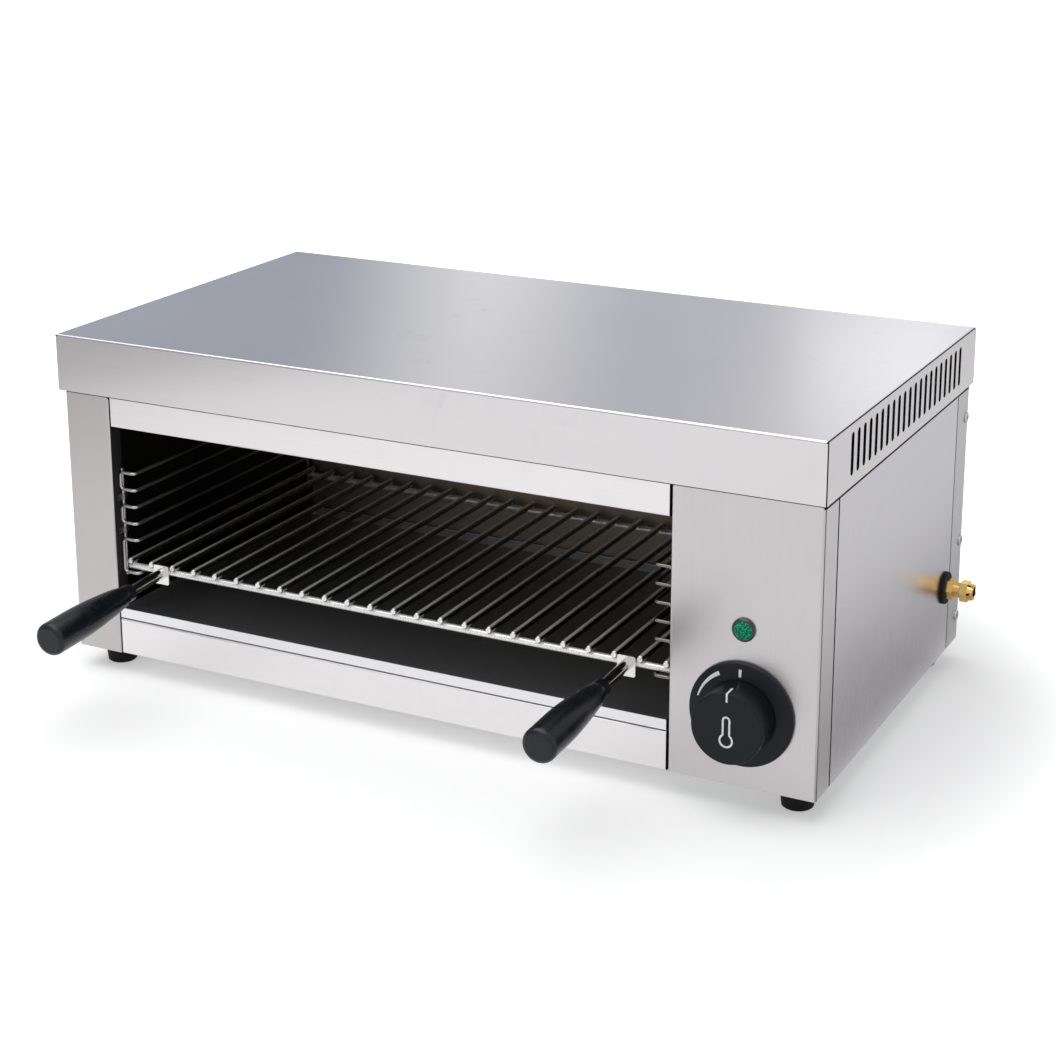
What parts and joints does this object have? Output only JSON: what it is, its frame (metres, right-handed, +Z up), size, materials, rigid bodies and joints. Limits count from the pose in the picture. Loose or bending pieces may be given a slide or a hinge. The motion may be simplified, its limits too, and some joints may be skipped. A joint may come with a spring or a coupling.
{
  "type": "cheese melter",
  "caption": "Countertop electric cheese melter: slotted sheet-steel hood over an open cavity with wire rails, a sliding rack with handles, a drip tray and a thermostat knob.",
  "frame": {"origin": "on the table, under the middle of the overall box, handles and gland included", "axes": "+X to the right seen from the front, +Y to the back, +Z up"},
  "size_m": [0.6306, 0.4525, 0.2675],
  "materials": {
    "casing_steel": "satin, brushed",
    "cavity_steel": "satin",
    "zinc_steel": "satin",
    "element_sheath": "matte, oxidised",
    "tray_steel": "satin",
    "chromed_wire": "bright",
    "mineral_wool": "matte",
    "black_plastic": "satin",
    "lamp_plastic": "gloss",
    "green_lens": "gloss, translucent",
    "cream_plastic": "matte",
    "copper": "satin",
    "gland_brass": "satin",
    "terminal_brass": "satin",
    "lead_sheath": "matte",
    "black_rubber": "matte",
    "screw_steel": "polished"
  },
  "bodies": {
    "casing": {"hood_cover": "casing_steel", "left_side_panel": "casing_steel", "control_panel": "casing_steel", "right_side_panel": "casing_steel", "rear_panel": "casing_steel", "upper_front_panel": "casing_steel", "lower_front_panel": "casing_steel", "base_panel": "zinc_steel", "cavity_left_wall": "cavity_steel", "cavity_right_wall": "cavity_steel", "cavity_rear_wall": "cavity_steel", "cavity_floor": "cavity_steel", "cavity_roof": "cavity_steel", "insulation": "mineral_wool", "heat_shield": "zinc_steel", "front_element": "element_sheath", "rear_element": "element_sheath", "element_hangers": "zinc_steel", "element_nuts": "zinc_steel", "element_terminals": "terminal_brass", "left_rail": "chromed_wire", "right_rail": "chromed_wire", "rail_clips": "zinc_steel", "knob_bezel": "black_plastic", "thermostat": "cream_plastic", "thermostat_screws": "screw_steel", "thermostat_phial": "copper", "phial_clips": "zinc_steel", "lamp_housing": "lamp_plastic", "lamp_lens": "green_lens", "lamp_nut": "zinc_steel", "terminal_block": "cream_plastic", "terminal_screws": "terminal_brass", "earth_stud": "zinc_steel", "internal_leads": "lead_sheath", "gland_washer": "black_rubber", "gland_body": "gland_brass", "gland_nut": "gland_brass", "gland_seal": "black_rubber", "gland_lock_nut": "gland_brass", "side_screws": "screw_steel", "hood_screws": "screw_steel", "feet": "black_rubber", "foot_screws": "screw_steel", "foot_nuts": "screw_steel"},
    "rack": {"rack_grid": "chromed_wire", "handle_brackets": "zinc_steel", "handle_shafts": "chromed_wire", "left_grip": "black_plastic", "right_grip": "black_plastic"},
    "tray": {"drip_tray": "tray_steel"},
    "knob": {"knob_cap": "black_plastic", "thermostat_spindle": "screw_steel"}
  },
  "joints": [
    {"name": "rack_slide", "type": "slide", "parent": "casing", "child": "rack", "axis": [0, -1, 0], "range_m": [0, 0.2]},
    {"name": "tray_slide", "type": "slide", "parent": "casing", "child": "tray", "axis": [0, -1, 0], "range_m": [0, 0.25]},
    {"name": "knob_turn", "type": "hinge", "parent": "casing", "child": "knob", "pos_m": [0.2392, -0.10021, 0.07], "axis": [0, 1, 0], "range_deg": [0, 320]}
  ]
}
